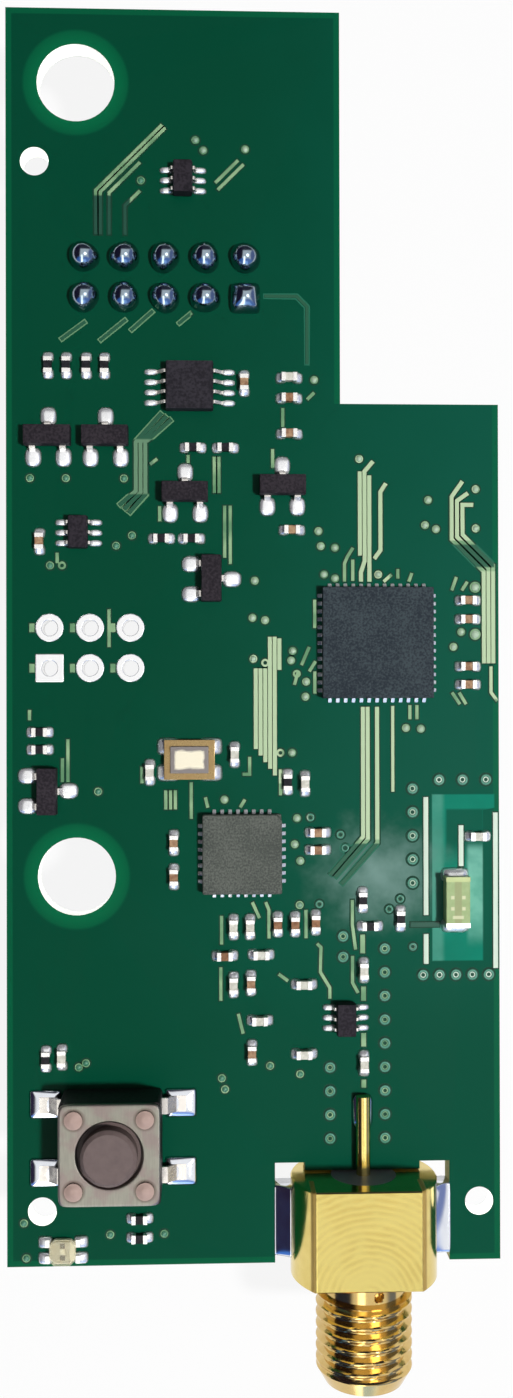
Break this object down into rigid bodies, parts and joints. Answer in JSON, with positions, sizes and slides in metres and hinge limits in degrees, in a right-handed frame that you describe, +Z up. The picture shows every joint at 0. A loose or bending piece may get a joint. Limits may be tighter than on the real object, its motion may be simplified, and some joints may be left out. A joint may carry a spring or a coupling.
{
  "type": "radio module",
  "caption": "L-shaped green radio module board with an edge coaxial jack, a push-button, flat chips, a ceramic antenna and a pin header underneath.",
  "frame": {"origin": "midway between the two mounting holes, on the board's underside", "axes": "+X across the board to the side with the coaxial jack, +Y along the board away from the jack, +Z up out of the face with the chips"},
  "size_m": [0.0312, 0.0863, 0.0143],
  "materials": {
    "laminate": "glossy green mask over glass laminate",
    "covered_copper": "copper lines under green mask",
    "tin": "bright tinned copper",
    "carrier_plastic": "black moulding",
    "pin_gold": "gold-plated pins",
    "solder": "bright solder",
    "processor_moulding": "dark slate moulding, bare of marks",
    "radio_moulding": "grey moulding, bare of marks",
    "memory_moulding": "black moulding",
    "small_moulding": "black moulding",
    "transistor_moulding": "black moulding",
    "lead_metal": "tinned leads",
    "crystal_ceramic": "gold-tan ceramic frame",
    "lid_metal": "satin nickel lid",
    "antenna_ceramic": "pale olive ceramic",
    "chip_metal": "tinned chip ends",
    "light_body": "cream base",
    "light_die": "two small dies",
    "light_clear": "clear resin",
    "resistor_black": "black glaze",
    "capacitor_tan": "tan ceramic",
    "filter_cream": "cream ceramic",
    "inductor_brown": "orange-brown ceramic",
    "switch_plastic": "pinkish brown moulding",
    "cover_metal": "satin champagne metal",
    "button_plastic": "mauve-brown moulding",
    "spring_metal": "silvered spring metal",
    "jack_gold": "gold plate with turning marks",
    "insulator_white": "white insulator",
    "contact_gold": "gold plate"
  },
  "bodies": {
    "board": {"circuit_board": "laminate", "copper_tracks": "covered_copper", "programming_pads": "tin", "header_carrier": "carrier_plastic", "header_pins": "pin_gold", "header_solder": "solder", "processor_body": "processor_moulding", "processor_leads": "lead_metal", "processor_solder": "solder", "radio_body": "radio_moulding", "radio_leads": "lead_metal", "radio_solder": "solder", "memory_body": "memory_moulding", "memory_leads": "lead_metal", "buffer_body_upper": "small_moulding", "buffer_body_lower": "small_moulding", "aerial_switch_body": "small_moulding", "six_lead_leads": "lead_metal", "transistor_1": "transistor_moulding", "transistor_2": "transistor_moulding", "transistor_3": "transistor_moulding", "transistor_4": "transistor_moulding", "transistor_5": "transistor_moulding", "transistor_6": "transistor_moulding", "transistor_leads": "lead_metal", "lead_solder": "solder", "crystal_base": "crystal_ceramic", "crystal_lid": "lid_metal", "antenna_body": "antenna_ceramic", "antenna_ends": "chip_metal", "light_base": "light_body", "light_dies": "light_die", "light_cover": "light_clear", "light_ends": "chip_metal", "resistor_bodies": "resistor_black", "resistor_ends": "chip_metal", "capacitor_bodies": "capacitor_tan", "capacitor_ends": "chip_metal", "filter_bodies": "filter_cream", "filter_ends": "chip_metal", "inductor_bodies": "inductor_brown", "inductor_ends": "chip_metal", "chip_solder": "solder", "block_solder": "solder", "switch_base": "switch_plastic", "switch_cover": "cover_metal", "switch_dome": "spring_metal", "switch_rim_contact": "spring_metal", "switch_centre_contact": "spring_metal", "switch_solder": "solder", "jack_body": "jack_gold", "jack_insulator": "insulator_white", "jack_contact": "contact_gold", "jack_solder": "solder"},
    "button": {"switch_button": "button_plastic"}
  },
  "joints": [
    {"name": "button_press", "type": "slide", "parent": "board", "child": "button", "axis": [0, 0, -1], "range_m": [0, 0.00025], "stiffness_N_per_m": 7000, "deforming": ["switch_dome"]}
  ]
}
